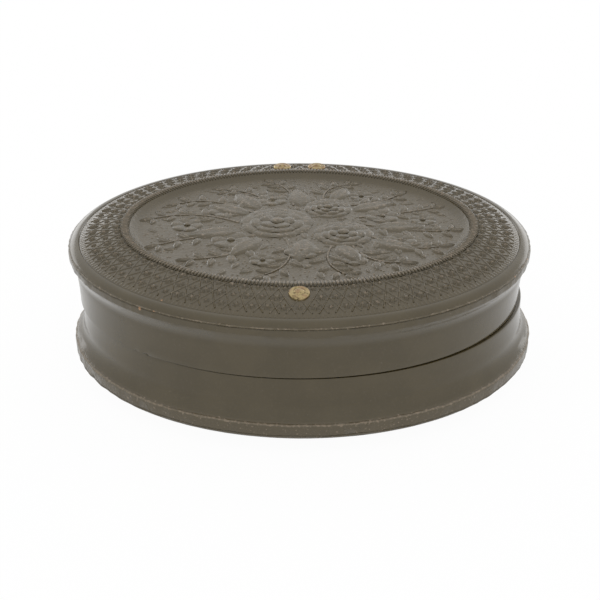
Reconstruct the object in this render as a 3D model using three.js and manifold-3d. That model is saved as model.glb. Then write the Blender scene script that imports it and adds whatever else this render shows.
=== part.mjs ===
// An oval keepsake case for a small mounted portrait. Two moulded halves close rim to rim on a riveted
// brass hinge and a snap catch. The lid holds a velvet pad, the base holds the framed plate.
// Millimetres, +Z up. The origin is on the table under the middle of the base, the long axis is X,
// the catch is at -Y and the hinge at +Y.

import * as THREE from "three";
import { mergeVertices } from "three/addons/utils/BufferGeometryUtils.js";
import Module from "manifold-3d";

const wasm = await Module();
wasm.setup();

// Outline of the case. Each oval is turned on an oval chuck, so all of them share one difference
// between half-length and half-width, and every radius below is a half-width.
const FLANGE_LENGTH = 76.2;
const FLANGE_WIDTH = 63.7;
const LID_FLANGE_INSET = 0.8;
const WALL_INSET = 2.5;
const WALL_WAIST = 0.25;
const WALL_THICKNESS = 2.2;

// Heights of one half, from the parting plane outwards
const PARTING_GAP = 0.16;
const CAVITY_DEPTH = 8.35;
const FLANGE_HEIGHT = 8.95;
const LID_LIP = 1.35;
const BASE_LIP = 1.8;
const CREST_HEIGHT = 11.65;

// Mouldings of the outer face, from the flange's edge inwards
const BEVEL_WIDTH = 1.87;
const BEVEL_RISE = 0.67;
const BORDER_BULGE = 0.3;
const REED_INSET = 9.95;
const REED_WIDTH = 1.1;
const REED_RISE = 0.35;
const REED_FLAT = 0.5;
const PANEL_DEPTH = 1.2;
const PANEL_CROWN = 0.25;
const PANEL_COVE = 1.6;

// Roundings of the moulding. The wall flares out to the lip, widely on the base and tightly on the lid.
const LID_FLARE = 1.2;
const BASE_FLARE = 3.5;
const LIP_ROUND = 0.2;
const RIM_CHAMFER = 0.2;
const CAVITY_FILLET = 1;

// Spray in low relief on the panel: flowers as x, y and radius, leaves as x, y, degrees and length, and
// sprigs as the x and y of their foot and of their tip
const ROSES = [
  [-3.6, 0.8, 6.2],
  [7, -3.4, 5],
  [4.8, 6.6, 4.2],
];
const BLOSSOMS = [
  [-12.2, 5.8, 3.1],
  [-10.8, -5.6, 3.3],
  [13.6, 3.6, 3],
  [16, -5.6, 2.7],
  [-18.2, 0.2, 2.8],
  [0.4, -9.6, 3],
  [-4.6, 10.4, 2.8],
  [20.2, 2.2, 2.3],
  [-5.6, -12.6, 2.2],
  [10.6, 12, 2.2],
  [8.4, -12.2, 2.3],
];
const BROAD_LEAVES = [
  [-8, 4, 150, 8.5],
  [-9, -2, 192, 9.5],
  [-6, -4.5, 236, 8.5],
  [1, -5, 262, 8.5],
  [6, -7, 296, 7.5],
  [11, -5.5, 332, 8.5],
  [11.5, -1, 4, 9],
  [8.5, 5.5, 28, 8.5],
  [5.5, 9.5, 66, 7],
  [0.5, 7, 98, 8.5],
  [-6.5, 6, 122, 8.5],
];
const SPRIGS = [
  [-10, 6.5, -20, 9],
  [-13, 2.5, -23.6, 3],
  [-11, -3.2, -21.8, -7],
  [-7.5, -8, -16, -12.2],
  [-2, -9, -5, -17.4],
  [5, -9.5, 6.8, -17.2],
  [8.5, -9, 15.2, -13.4],
  [12.5, -6, 21.6, -7.8],
  [13.5, -1, 24, -1.8],
  [12.5, 3.6, 22.2, 7],
  [9.5, 8, 16.6, 12.2],
  [4, 11.5, 8.2, 17],
  [-1, 10.5, -4.2, 17.6],
  [-5.6, 9.5, -12.4, 14.6],
];
const ROSE_PETALS = 9;
const BLOSSOM_PETALS = 6;
const ROSE_RISE = 0.6;
const FLOWER_RISE = 0.32;
const LEAF_RISE = 0.36;
const LEAF_SHAPE = 0.48;
const SPRIG_RISE = 0.2;
const SPRIG_WIDTH = 3.6;
const RELIEF_FACE = 0.65;
const PETAL_FACE = 0.85;

// How far the lid sits to the left on its worn hinge
const SIDE_PLAY = 0.5;

// Brass strip and its rivets
const STRIP = 0.45;
const RIVET_SHANK = 0.8;
const RIVET_HEAD = 1.6;
const HEAD_ROUND = 0.4;
const RIVET_TAIL = 1.25;
const TAIL_HEIGHT = 0.4;
const LID_HEAD_HEIGHT = 0.8;
const BASE_HEAD_HEIGHT = 0.65;
const RIVET_SEAT_DEPTH = 0.85;
const STRIP_REACH = 2.4;

// Hinge
const HINGE_LENGTH = 14;
const HINGE_RIVET_SPACING = 6.2;
const KNUCKLE_RADIUS = 1.05;
const KNUCKLE_STANDOFF = 1.3;
const MIDDLE_KNUCKLE = 4.6;
const PIN_RADIUS = 0.5;
const PIN_OVERHANG = 0.25;

// Catch
const CATCH_WIDTH = 7;
const TONGUE_WIDTH = 5;
const TONGUE_TIP = 1.55;
const BEAD_RADIUS = 0.55;
const BEAD_LENGTH = 2.6;
const BEAD_DROP = 0.5;
const KEEPER_RISE = 1;
const FLEXURE_DROP = 1.2;

// Lining and picture packet
const VELVET_STRIP = 1.1;
const VELVET_STRIP_DROP = 0.4;
const PAD_THICKNESS = 3.5;
const PAD_EDGE = 2;
const PACKING_CARD = 2;
const PRESERVER_FOIL = 0.3;
const PRESERVER_LIP = 2.2;
const PRESERVER_FOLD = 1.5;
const BACKING_CARD = 0.9;
const IMAGE_PLATE = 0.5;
const MAT_THICKNESS = 0.45;
const MAT_BORDER = 7.6;
const MAT_BEVEL = 0.8;
const GLASS_THICKNESS = 1.4;

// Clearances: pieces laid on each other, pieces beside each other, and the pin in its knuckles
const SEAT = 0.1;
const CLEARANCE = 0.3;
const RUNNING_FIT = 0.08;

// Facets
const SHELL_SEGMENTS = 52;
const LINING_SEGMENTS = 48;
const ROUND_SEGMENTS = 16;
const CURVE_STEPS = 2;

// Worked out from the driving dimensions
const CHUCK_THROW = (FLANGE_LENGTH - FLANGE_WIDTH) / 2;
const FLANGE_RADIUS = FLANGE_WIDTH / 2;
const WALL_RADIUS = FLANGE_RADIUS - WALL_INSET;
const CAVITY_RADIUS = WALL_RADIUS - WALL_WAIST - WALL_THICKNESS;
const PARTING_Z = CREST_HEIGHT;
const RIM = PARTING_GAP / 2;
const REED_RADIUS = FLANGE_RADIUS - REED_INSET;
const PANEL_HEIGHT = CREST_HEIGHT - PANEL_DEPTH;
const PANEL_RADIUS = REED_RADIUS - REED_WIDTH / 2 - PANEL_COVE;
const RIVET_LINE = REED_RADIUS + REED_WIDTH / 2 + RIVET_HEAD;
const RIVET_SEAT = CREST_HEIGHT - RIVET_SEAT_DEPTH;
const PLATE_FACE = CAVITY_RADIUS;
const PLATE_TOP = CAVITY_DEPTH - SEAT;
const STRIP_END = RIVET_LINE - STRIP_REACH;
const PAD_CARD = STRIP + SEAT + TAIL_HEIGHT;
const HINGE_Y = WALL_RADIUS - WALL_WAIST + KNUCKLE_STANDOFF;
const KNUCKLE_GAP = SIDE_PLAY + SEAT;
const LINING_RADIUS = PLATE_FACE - STRIP - 2 * SEAT;
const PACKET_RADIUS = LINING_RADIUS - VELVET_STRIP - SEAT;

const BROWN = { color: 0x4f4638, roughness: 0.5, metalness: 0 };
const BRASS = { color: 0xb08d4f, roughness: 0.35, metalness: 1 };
const GILT = { color: 0xa5824a, roughness: 0.4, metalness: 1 };
const VELVET = { color: 0x5c1620, roughness: 0.95, metalness: 0 };
const CARD = { color: 0xa89878, roughness: 0.9, metalness: 0 };
const JAPAN = { color: 0x1c1613, roughness: 0.3, metalness: 0 };
const GLASS = { color: 0xe8efec, roughness: 0.05, metalness: 0, transparent: true, opacity: 0.35 };

function solid(geometry) {
  const bare = new THREE.BufferGeometry();
  bare.setAttribute("position", geometry.getAttribute("position"));
  bare.setIndex(geometry.index);
  const welded = mergeVertices(bare, 1e-4);
  return new wasm.Manifold(
    new wasm.Mesh({
      numProp: 3,
      vertProperties: welded.getAttribute("position").array,
      triVerts: welded.index.array,
    }),
  );
}

function node(name, shape, finish) {
  const mesh = shape.getMesh();
  const geometry = new THREE.BufferGeometry();
  geometry.setAttribute("position", new THREE.BufferAttribute(mesh.vertProperties, mesh.numProp));
  geometry.setIndex(new THREE.BufferAttribute(mesh.triVerts, 1));
  geometry.computeVertexNormals();
  const piece = new THREE.Mesh(geometry, new THREE.MeshStandardMaterial(finish));
  piece.name = name;
  return piece;
}

// A profile of (half-width, height) points, clockwise from the top, turned on a chuck. An oval chuck's
// throw draws the axis out into a short line and every ring into an oval.
function turn(profile, segments, chuckThrow) {
  const turned = new THREE.LatheGeometry(profile.toReversed(), segments);
  const corners = turned.getAttribute("position");
  for (let i = 0; i < corners.count; i += 1) {
    const angle = (Math.floor(i / profile.length) / segments) * 2 * Math.PI;
    corners.setX(i, corners.getX(i) + chuckThrow * Math.sin(angle));
  }
  return solid(turned.rotateX(Math.PI / 2));
}

function ovalTurn(profile, segments) {
  return turn(profile, segments, CHUCK_THROW);
}

function oval(radius) {
  const outline = new THREE.Shape();
  outline.absellipse(0, 0, radius + CHUCK_THROW, radius, 0, 2 * Math.PI);
  return outline;
}

function slab(outline, bottom, top) {
  const curveSegments = LINING_SEGMENTS / 2;
  const raised = new THREE.ExtrudeGeometry(outline, { depth: top - bottom, bevelEnabled: false, curveSegments });
  return solid(raised.translate(0, 0, bottom));
}

function block(x0, x1, y0, y1, z0, z1) {
  const box = new THREE.BoxGeometry(x1 - x0, y1 - y0, z1 - z0);
  return solid(box.translate((x0 + x1) / 2, (y0 + y1) / 2, (z0 + z1) / 2));
}

function barAlongX(radius, x0, x1, y, z) {
  const bar = new THREE.CylinderGeometry(radius, radius, x1 - x0, ROUND_SEGMENTS);
  return solid(bar.rotateZ(Math.PI / 2).translate((x0 + x1) / 2, y, z));
}

function post(radius, x, y, z0, z1) {
  const drum = new THREE.CylinderGeometry(radius, radius, z1 - z0, ROUND_SEGMENTS);
  return solid(drum.rotateX(Math.PI / 2).translate(x, y, (z0 + z1) / 2));
}

// A side view of (y, z) corners drawn out along X, as bent strip is
function bentStrip(corners, x0, x1) {
  const side = new THREE.Shape(corners.map(([y, z]) => new THREE.Vector2(y, z)));
  const strip = new THREE.ExtrudeGeometry(side, { depth: x1 - x0, bevelEnabled: false });
  const across = new THREE.Matrix4().makeBasis(
    new THREE.Vector3(0, 1, 0),
    new THREE.Vector3(0, 0, 1),
    new THREE.Vector3(1, 0, 0),
  );
  return solid(strip.applyMatrix4(across).translate(x0, 0, 0));
}

// Section through one half, from the middle of its panel over the mouldings, down the wall and back
// along the inside
function halfProfile(flangeRadius, lip, flare) {
  const reedInner = REED_RADIUS - REED_WIDTH / 2;
  const reedOuter = REED_RADIUS + REED_WIDTH / 2;
  const reedFoot = CREST_HEIGHT - REED_RISE;
  const borderEdge = flangeRadius - BEVEL_WIDTH;
  const borderFoot = FLANGE_HEIGHT + BEVEL_RISE;
  const ledge = FLANGE_HEIGHT - lip;
  const wallEnd = ledge - flare;
  const section = new THREE.Path();
  const panelTop = PANEL_HEIGHT + PANEL_CROWN;
  section.moveTo(0, panelTop);
  section.quadraticCurveTo(PANEL_RADIUS / 2, panelTop, PANEL_RADIUS, PANEL_HEIGHT);
  section.quadraticCurveTo(reedInner, PANEL_HEIGHT, reedInner, reedFoot);
  section.quadraticCurveTo(reedInner, CREST_HEIGHT, REED_RADIUS - REED_FLAT / 2, CREST_HEIGHT);
  section.lineTo(REED_RADIUS + REED_FLAT / 2, CREST_HEIGHT);
  section.quadraticCurveTo(reedOuter, CREST_HEIGHT, reedOuter, reedFoot);
  const middle = (reedOuter + borderEdge) / 2;
  section.quadraticCurveTo(middle, (reedFoot + borderFoot) / 2 + BORDER_BULGE, borderEdge, borderFoot);
  section.lineTo(flangeRadius - LIP_ROUND, FLANGE_HEIGHT);
  section.quadraticCurveTo(flangeRadius, FLANGE_HEIGHT, flangeRadius, FLANGE_HEIGHT - LIP_ROUND);
  section.lineTo(flangeRadius, ledge + LIP_ROUND);
  section.lineTo(flangeRadius - LIP_ROUND, ledge);
  section.quadraticCurveTo(WALL_RADIUS, ledge - flare / 4, WALL_RADIUS, wallEnd);
  const waist = WALL_RADIUS - WALL_WAIST;
  section.quadraticCurveTo(waist, wallEnd / 2, waist, RIM + RIM_CHAMFER);
  section.lineTo(waist - RIM_CHAMFER, RIM);
  section.lineTo(CAVITY_RADIUS + RIM_CHAMFER, RIM);
  section.lineTo(CAVITY_RADIUS, RIM + RIM_CHAMFER);
  section.lineTo(CAVITY_RADIUS, CAVITY_DEPTH - CAVITY_FILLET);
  section.quadraticCurveTo(CAVITY_RADIUS, CAVITY_DEPTH, CAVITY_RADIUS - CAVITY_FILLET, CAVITY_DEPTH);
  section.lineTo(0, CAVITY_DEPTH);
  return section.getPoints(CURVE_STEPS);
}

function panelAt(x, y) {
  const share = (x / (PANEL_RADIUS + CHUCK_THROW)) ** 2 + (y / PANEL_RADIUS) ** 2;
  return PANEL_HEIGHT + PANEL_CROWN * (1 - share);
}

// A faceted flower: its petals rise from the panel and its heart stands higher
function flower(x, y, radius, petals, heart) {
  const ground = panelAt(x, y);
  const section = [
    new THREE.Vector2(0, ground + heart),
    new THREE.Vector2(radius * (1 - RELIEF_FACE), ground + heart),
    new THREE.Vector2(radius * PETAL_FACE, ground + FLOWER_RISE),
    new THREE.Vector2(radius, PANEL_HEIGHT),
    new THREE.Vector2(0, PANEL_HEIGHT),
  ];
  return turn(section, petals, 0).translate([x, y, 0]);
}

// A leaf with sloping sides, pointed at its foot and its tip
function leaf(x, y, degrees, length, width, rise) {
  const outline = [
    [0, 0],
    [0.5, -0.5],
    [1, 0],
    [0.5, 0.5],
  ];
  const foot = outline.map(([along, across]) => [along * length, across * width, 0]);
  const face = outline.map(([along, across]) => [
    (0.5 + (along - 0.5) * RELIEF_FACE) * length,
    across * RELIEF_FACE * width,
    panelAt(x, y) - PANEL_HEIGHT + rise,
  ]);
  const shape = wasm.Manifold.hull([...foot, ...face]);
  return shape.rotate([0, 0, degrees]).translate([x, y, PANEL_HEIGHT]);
}

function spray() {
  const sprigs = SPRIGS.map(([x, y, tipX, tipY]) => {
    const degrees = (Math.atan2(tipY - y, tipX - x) * 180) / Math.PI;
    return leaf(x, y, degrees, Math.hypot(tipX - x, tipY - y), SPRIG_WIDTH, SPRIG_RISE);
  });
  return wasm.Manifold.union([
    ...ROSES.map(([x, y, radius]) => flower(x, y, radius, ROSE_PETALS, ROSE_RISE)),
    ...BLOSSOMS.map(([x, y, radius]) => flower(x, y, radius, BLOSSOM_PETALS, FLOWER_RISE)),
    ...BROAD_LEAVES.map(([x, y, degrees, length]) => leaf(x, y, degrees, length, length * LEAF_SHAPE, LEAF_RISE)),
    ...sprigs,
  ]);
}

const HINGE_RIVETS = [-HINGE_RIVET_SPACING / 2, HINGE_RIVET_SPACING / 2];
const OUTER_KNUCKLES = [
  [-HINGE_LENGTH / 2, -MIDDLE_KNUCKLE / 2 - KNUCKLE_GAP],
  [MIDDLE_KNUCKLE / 2 + KNUCKLE_GAP, HINGE_LENGTH / 2],
];
const MIDDLE_KNUCKLES = [[-MIDDLE_KNUCKLE / 2, MIDDLE_KNUCKLE / 2]];

// One moulded half with its inlets: pockets for the strips, rivet holes with flat seats, slots for the
// hinge's webs and a scallop round its barrel
function shell(profile, knuckles) {
  let half = ovalTurn(profile, SHELL_SEGMENTS);
  const inlet = PLATE_FACE + CLEARANCE;
  const hingeHalf = HINGE_LENGTH / 2 + CLEARANCE;
  const catchHalf = CATCH_WIDTH / 2 + CLEARANCE + SIDE_PLAY;
  half = half.subtract(block(-hingeHalf, hingeHalf, STRIP_END, inlet, 0, CAVITY_DEPTH));
  half = half.subtract(block(-catchHalf, catchHalf, -inlet, -STRIP_END, 0, CAVITY_DEPTH));
  for (const [x0, x1] of knuckles) {
    const slotTop = RIM + STRIP + CLEARANCE;
    half = half.subtract(block(x0 - CLEARANCE, x1 + CLEARANCE, STRIP_END, FLANGE_RADIUS, 0, slotTop));
  }
  const scallop = hingeHalf + SIDE_PLAY;
  half = half.subtract(barAlongX(KNUCKLE_RADIUS + CLEARANCE, -scallop, scallop, HINGE_Y, 0));
  const rivets = [...HINGE_RIVETS.map((x) => [x, RIVET_LINE]), [0, -RIVET_LINE]];
  for (const [x, y] of rivets) {
    half = half.subtract(post(RIVET_SHANK + SEAT, x, y, 0, CREST_HEIGHT));
    half = half.subtract(post(RIVET_HEAD + SEAT, x, y, RIVET_SEAT, CREST_HEIGHT + 1));
  }
  return half;
}

// Strip bent to lie under the ceiling and down the wall, as far as foot
function wallStrip(x0, x1, side, face, foot) {
  const inner = face - STRIP;
  const under = PLATE_TOP - STRIP;
  const corners = [
    [side * STRIP_END, PLATE_TOP],
    [side * (face - STRIP / 2), PLATE_TOP],
    [side * face, PLATE_TOP - STRIP / 2],
    [side * face, foot],
    [side * inner, foot],
    [side * inner, under],
    [side * STRIP_END, under],
  ];
  return bentStrip(side > 0 ? corners.reverse() : corners, x0, x1);
}

function drilled(strip, places) {
  const holes = places.map(([x, y]) => post(RIVET_SHANK + SEAT, x, y, PLATE_TOP - 2 * STRIP, PLATE_TOP + STRIP));
  return holes.reduce((whole, hole) => whole.subtract(hole), strip);
}

function hingeLeaf(knuckles) {
  let leaf = wallStrip(-HINGE_LENGTH / 2, HINGE_LENGTH / 2, 1, PLATE_FACE, RIM);
  for (const [x0, x1] of knuckles) {
    leaf = leaf.add(block(x0, x1, PLATE_FACE - STRIP, HINGE_Y, RIM, RIM + STRIP));
    leaf = leaf.add(barAlongX(KNUCKLE_RADIUS, x0, x1, HINGE_Y, 0));
  }
  const bore = barAlongX(PIN_RADIUS + RUNNING_FIT, -HINGE_LENGTH, HINGE_LENGTH, HINGE_Y, 0);
  return drilled(leaf.subtract(bore), HINGE_RIVETS.map((x) => [x, RIVET_LINE]));
}

// A rivet with its button head outside, its shank through moulding and strip, and its clenched tail
function rivet(headHeight) {
  const tailTop = PLATE_TOP - STRIP - SEAT;
  const headFoot = RIVET_SEAT + SEAT;
  const headTop = headFoot + headHeight;
  const section = new THREE.Path();
  section.moveTo(0, headTop);
  section.lineTo(RIVET_HEAD - HEAD_ROUND, headTop);
  section.quadraticCurveTo(RIVET_HEAD, headTop, RIVET_HEAD, headTop - HEAD_ROUND);
  section.lineTo(RIVET_HEAD, headFoot);
  section.lineTo(RIVET_SHANK, headFoot);
  section.lineTo(RIVET_SHANK, tailTop);
  section.lineTo(RIVET_TAIL, tailTop);
  section.lineTo(RIVET_SHANK, tailTop - TAIL_HEIGHT);
  section.lineTo(0, tailTop - TAIL_HEIGHT);
  return turn(section.getPoints(CURVE_STEPS), ROUND_SEGMENTS, 0);
}

function rivets(half, headHeight) {
  const places = [
    [`${half}_hinge_rivet_left`, HINGE_RIVETS[0], RIVET_LINE],
    [`${half}_hinge_rivet_right`, HINGE_RIVETS[1], RIVET_LINE],
    [`${half}_catch_rivet`, 0, -RIVET_LINE],
  ];
  return places.map(([name, x, y]) => {
    const piece = node(name, rivet(headHeight), GILT);
    piece.position.set(x, y, 0);
    return piece;
  });
}

// The snap spring is one strip: its foot is riveted and its tongue bends at the flexure below the bend
const TONGUE_FACE = PLATE_FACE - STRIP - CLEARANCE;
const FLEXURE = PLATE_TOP - FLEXURE_DROP;

function catchFoot() {
  const foot = wallStrip(-TONGUE_WIDTH / 2, TONGUE_WIDTH / 2, -1, TONGUE_FACE, FLEXURE + SEAT / 2);
  return drilled(foot, [[0, -RIVET_LINE]]);
}

function catchTongue() {
  const blade = block(
    -TONGUE_WIDTH / 2,
    TONGUE_WIDTH / 2,
    -TONGUE_FACE,
    -TONGUE_FACE + STRIP,
    -TONGUE_TIP,
    FLEXURE - SEAT / 2,
  );
  const bead = barAlongX(BEAD_RADIUS, -BEAD_LENGTH / 2, BEAD_LENGTH / 2, -TONGUE_FACE, -BEAD_DROP);
  const inside = block(-TONGUE_WIDTH, TONGUE_WIDTH, -TONGUE_FACE + STRIP, 0, -CREST_HEIGHT, CREST_HEIGHT);
  return blade.add(bead.subtract(inside));
}

// The keeper stands past the rim into the lid, so its window takes the bead just above the rim
function catchPlate() {
  const plate = wallStrip(-CATCH_WIDTH / 2, CATCH_WIDTH / 2, -1, PLATE_FACE, -KEEPER_RISE);
  const windowHalf = BEAD_LENGTH / 2 + SIDE_PLAY + CLEARANCE;
  const reach = BEAD_RADIUS + CLEARANCE / 2;
  const window = block(-windowHalf, windowHalf, -FLANGE_RADIUS, -STRIP_END, BEAD_DROP - reach, BEAD_DROP + reach);
  return drilled(plate.subtract(window), [[0, -RIVET_LINE]]);
}

// Room that a card or pad leaves round the strips at the hinge and the catch
function stripRoom(bottom, top) {
  const hingeHalf = HINGE_LENGTH / 2 + CLEARANCE;
  const catchHalf = CATCH_WIDTH / 2 + CLEARANCE;
  const atHinge = block(-hingeHalf, hingeHalf, STRIP_END - CLEARANCE, FLANGE_RADIUS, bottom, top);
  return atHinge.add(block(-catchHalf, catchHalf, -FLANGE_RADIUS, -STRIP_END + CLEARANCE, bottom, top));
}

function padCard() {
  const top = CAVITY_DEPTH - SEAT;
  const card = slab(oval(CAVITY_RADIUS - CAVITY_FILLET - SEAT), top - PAD_CARD, top);
  return card.subtract(stripRoom(0, CREST_HEIGHT));
}

// Crowned pad with rounded sides, notched where the strips come down the wall
function velvetPad() {
  const back = CAVITY_DEPTH - SEAT - PAD_CARD - SEAT;
  const front = back - PAD_THICKNESS;
  const shoulder = front + PAD_EDGE;
  const section = new THREE.Path();
  section.moveTo(0, back);
  section.lineTo(LINING_RADIUS, back);
  section.lineTo(LINING_RADIUS, shoulder);
  section.quadraticCurveTo(LINING_RADIUS, front, 0, front);
  const pad = ovalTurn(section.getPoints(CURVE_STEPS * 3), LINING_SEGMENTS);
  return pad.subtract(padNotches());
}

function padNotches() {
  const hingeHalf = HINGE_LENGTH / 2 + CLEARANCE;
  const catchHalf = TONGUE_WIDTH / 2 + CLEARANCE;
  const hingeFace = PLATE_FACE - STRIP - CLEARANCE;
  const catchFace = TONGUE_FACE - STRIP - 2 * CLEARANCE;
  const atHinge = block(-hingeHalf, hingeHalf, hingeFace, FLANGE_RADIUS, 0, CREST_HEIGHT);
  return atHinge.add(block(-catchHalf, catchHalf, -FLANGE_RADIUS, -catchFace, 0, CREST_HEIGHT));
}

// The velvet-covered strip round the base's wall, lower at the front where the tongue comes down
function velvetStrip() {
  const ring = oval(LINING_RADIUS);
  ring.holes.push(oval(LINING_RADIUS - VELVET_STRIP));
  const strip = slab(ring, VELVET_STRIP_DROP, CAVITY_DEPTH - CAVITY_FILLET);
  const notchHalf = TONGUE_WIDTH / 2 + SIDE_PLAY + CLEARANCE;
  const overStrips = stripRoom(PLATE_TOP - STRIP - TAIL_HEIGHT - 3 * SEAT, CREST_HEIGHT);
  const atTongue = block(-notchHalf, notchHalf, -FLANGE_RADIUS, 0, 0, TONGUE_TIP + CLEARANCE);
  return strip.subtract(overStrips).subtract(atTongue);
}

function packingCard() {
  const floor = CAVITY_DEPTH - SEAT;
  const card = slab(oval(PACKET_RADIUS), floor - PACKING_CARD, floor);
  return card.subtract(stripRoom(0, CREST_HEIGHT));
}

// The packet is stacked from its back: foil fold, card, plate, mat, glass, foil lip
function packet() {
  const inside = PACKET_RADIUS - PRESERVER_FOIL - SEAT;
  const layers = new THREE.Group();
  const stack = [
    ["backing_card", BACKING_CARD, CARD],
    ["image_plate", IMAGE_PLATE, JAPAN],
    ["brass_mat", MAT_THICKNESS, BRASS],
    ["cover_glass", GLASS_THICKNESS, GLASS],
  ];
  let level = PRESERVER_FOIL + SEAT;
  for (const [name, thickness, finish] of stack) {
    const outline = oval(inside);
    let layer = slab(outline, level, level + thickness);
    if (name === "brass_mat") {
      layer = layer.subtract(matWindow(inside - MAT_BORDER, level, level + thickness));
    }
    layers.add(node(name, layer, finish));
    level += thickness + SEAT;
  }
  layers.add(node("preserver", preserver(level + PRESERVER_FOIL), BRASS));
  return layers;
}

// Bevelled oval window: wider at the mat's face than at its back
function matWindow(radius, back, face) {
  const section = [
    new THREE.Vector2(0, face + MAT_THICKNESS),
    new THREE.Vector2(radius + MAT_BEVEL * 2, face + MAT_THICKNESS),
    new THREE.Vector2(radius, back),
    new THREE.Vector2(radius, back - MAT_THICKNESS),
    new THREE.Vector2(0, back - MAT_THICKNESS),
  ];
  return ovalTurn(section, LINING_SEGMENTS);
}

function preserver(height) {
  const inner = PACKET_RADIUS - PRESERVER_FOIL;
  const lip = height - PRESERVER_FOIL;
  const section = [
    [PACKET_RADIUS - PRESERVER_LIP, height],
    [PACKET_RADIUS, height],
    [PACKET_RADIUS, 0],
    [PACKET_RADIUS - PRESERVER_FOLD, 0],
    [PACKET_RADIUS - PRESERVER_FOLD, PRESERVER_FOIL],
    [inner, PRESERVER_FOIL],
    [inner, lip],
    [PACKET_RADIUS - PRESERVER_LIP, lip],
    [PACKET_RADIUS - PRESERVER_LIP, height],
  ].map(([r, z]) => new THREE.Vector2(r, z));
  return ovalTurn(section, LINING_SEGMENTS);
}

const lid = new THREE.Group();
lid.position.set(-SIDE_PLAY, 0, PARTING_Z);
const lidProfile = halfProfile(FLANGE_RADIUS - LID_FLANGE_INSET, LID_LIP, LID_FLARE);
lid.add(node("lid_shell", shell(lidProfile, MIDDLE_KNUCKLES).add(spray()), BROWN));
lid.add(node("lid_hinge_leaf", hingeLeaf(MIDDLE_KNUCKLES), BRASS));
lid.add(node("lid_catch_foot", catchFoot(), BRASS));
lid.add(node("catch_tongue", catchTongue(), BRASS));
lid.add(node("pad_card", padCard(), CARD));
lid.add(node("velvet_pad", velvetPad(), VELVET));
lid.add(...rivets("lid", LID_HEAD_HEIGHT));

// The base is struck like the lid and lies the other way up, so its group mirrors the half's heights
const base = new THREE.Group();
base.position.set(0, 0, PARTING_Z);
base.scale.set(1, 1, -1);
const baseProfile = halfProfile(FLANGE_RADIUS, BASE_LIP, BASE_FLARE);
base.add(node("base_shell", shell(baseProfile, OUTER_KNUCKLES), BROWN));
base.add(node("base_hinge_leaf", hingeLeaf(OUTER_KNUCKLES), BRASS));
base.add(node("base_catch_plate", catchPlate(), BRASS));
base.add(node("velvet_strip", velvetStrip(), VELVET));
base.add(node("packing_card", packingCard(), CARD));
base.add(...rivets("base", BASE_HEAD_HEIGHT));

const picture = packet();
picture.position.z = PARTING_Z - CAVITY_DEPTH + PACKING_CARD + 2 * SEAT;

const pinEnd = HINGE_LENGTH / 2 + PIN_OVERHANG;
const pin = node("hinge_pin", barAlongX(PIN_RADIUS, -pinEnd, pinEnd, HINGE_Y, 0), BRASS);
pin.position.z = PARTING_Z;

const unionCase = new THREE.Group();
unionCase.add(lid, base, picture, pin);

export default unionCase;
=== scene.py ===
import bisect
import math
import random

import bmesh
import bpy
from mathutils import Matrix, Vector, noise


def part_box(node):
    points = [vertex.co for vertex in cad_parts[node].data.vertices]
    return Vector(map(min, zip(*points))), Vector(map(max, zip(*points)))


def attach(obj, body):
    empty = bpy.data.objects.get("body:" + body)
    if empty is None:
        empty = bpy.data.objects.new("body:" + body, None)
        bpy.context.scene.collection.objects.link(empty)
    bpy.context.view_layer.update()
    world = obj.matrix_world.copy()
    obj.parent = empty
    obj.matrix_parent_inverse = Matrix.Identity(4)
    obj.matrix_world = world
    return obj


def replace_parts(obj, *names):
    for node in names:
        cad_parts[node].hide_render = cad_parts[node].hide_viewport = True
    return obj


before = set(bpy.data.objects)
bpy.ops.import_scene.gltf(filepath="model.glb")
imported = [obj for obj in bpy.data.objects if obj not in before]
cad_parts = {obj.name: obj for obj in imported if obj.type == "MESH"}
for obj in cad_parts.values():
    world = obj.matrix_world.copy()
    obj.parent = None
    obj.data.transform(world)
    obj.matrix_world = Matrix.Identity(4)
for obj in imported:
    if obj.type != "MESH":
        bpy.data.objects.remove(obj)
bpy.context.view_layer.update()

# The two moulded halves
# Base and lid are pressed hot from shellac and wood flour in oval dies. Each is a thin waisted wall that
# flares out to an upright lip, with a rounded bevel, a domed border, the bed of a reeded ring and a panel.
BASE_LOW, BASE_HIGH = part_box("base_shell")
PARTING_Z = (BASE_HIGH.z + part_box("lid_shell")[0].z) / 2
CREST_HEIGHT = PARTING_Z - BASE_LOW.z
CHUCK_THROW = BASE_HIGH.x - BASE_HIGH.y
WALL_RADIUS = BASE_HIGH.y - 0.00185
WAIST_RADIUS = WALL_RADIUS - 0.00025
CAVITY_RADIUS = BASE_HIGH.y - 0.00495
CAVITY_DEPTH = 0.00835
CAVITY_FILLET = 0.001
RIM = 0.00006
RIM_ROUND = 0.00012
RIM_REACH = 1.1 * (RIM + RIM_ROUND)
GAPE_START = -0.66
GAPE_RUN = 0.14
FLUSH_SHARE = 0.02
WIDER_GAPE = 0.2
WIDER_START = 0.4
FLANGE_HEIGHT = 0.00895
LIPS = {"base": 0.00222, "lid": 0.00135}
LIP_ROUND = 0.0002
ARRIS_INSET = LIP_ROUND / 3
ARRIS_ROUNDS = {"base": 0.00035, "lid": 0.00008}
ARRIS_RUB = {"base": 1.5, "lid": 0.95}
LIP_RUB = {"base": 0.45, "lid": 0.2}
RUB_REACH = 0.0004
FLARES = {"base": 0.003, "lid": 0.0025}
FLARE_TURN = {"base": 0.5, "lid": 0.72}
END_HOLD = 0.85
QUIRK = 0.00012
BEVEL_WIDTH = 0.00187
BEVEL_SHOULDER = 0.0008
BORDER_FOOT = FLANGE_HEIGHT + 0.00067
BORDER_BULGE = 0.0003
BORDER_SINK = 0.00008
BORDER_GROOVE = 0.00004
REED_RADIUS = BASE_HIGH.y - 0.00995
REED_HALF = 0.00055
REED_INNER = REED_RADIUS - REED_HALF
REED_OUTER = REED_RADIUS + REED_HALF
REED_CROWN = REED_HALF / 3
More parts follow.
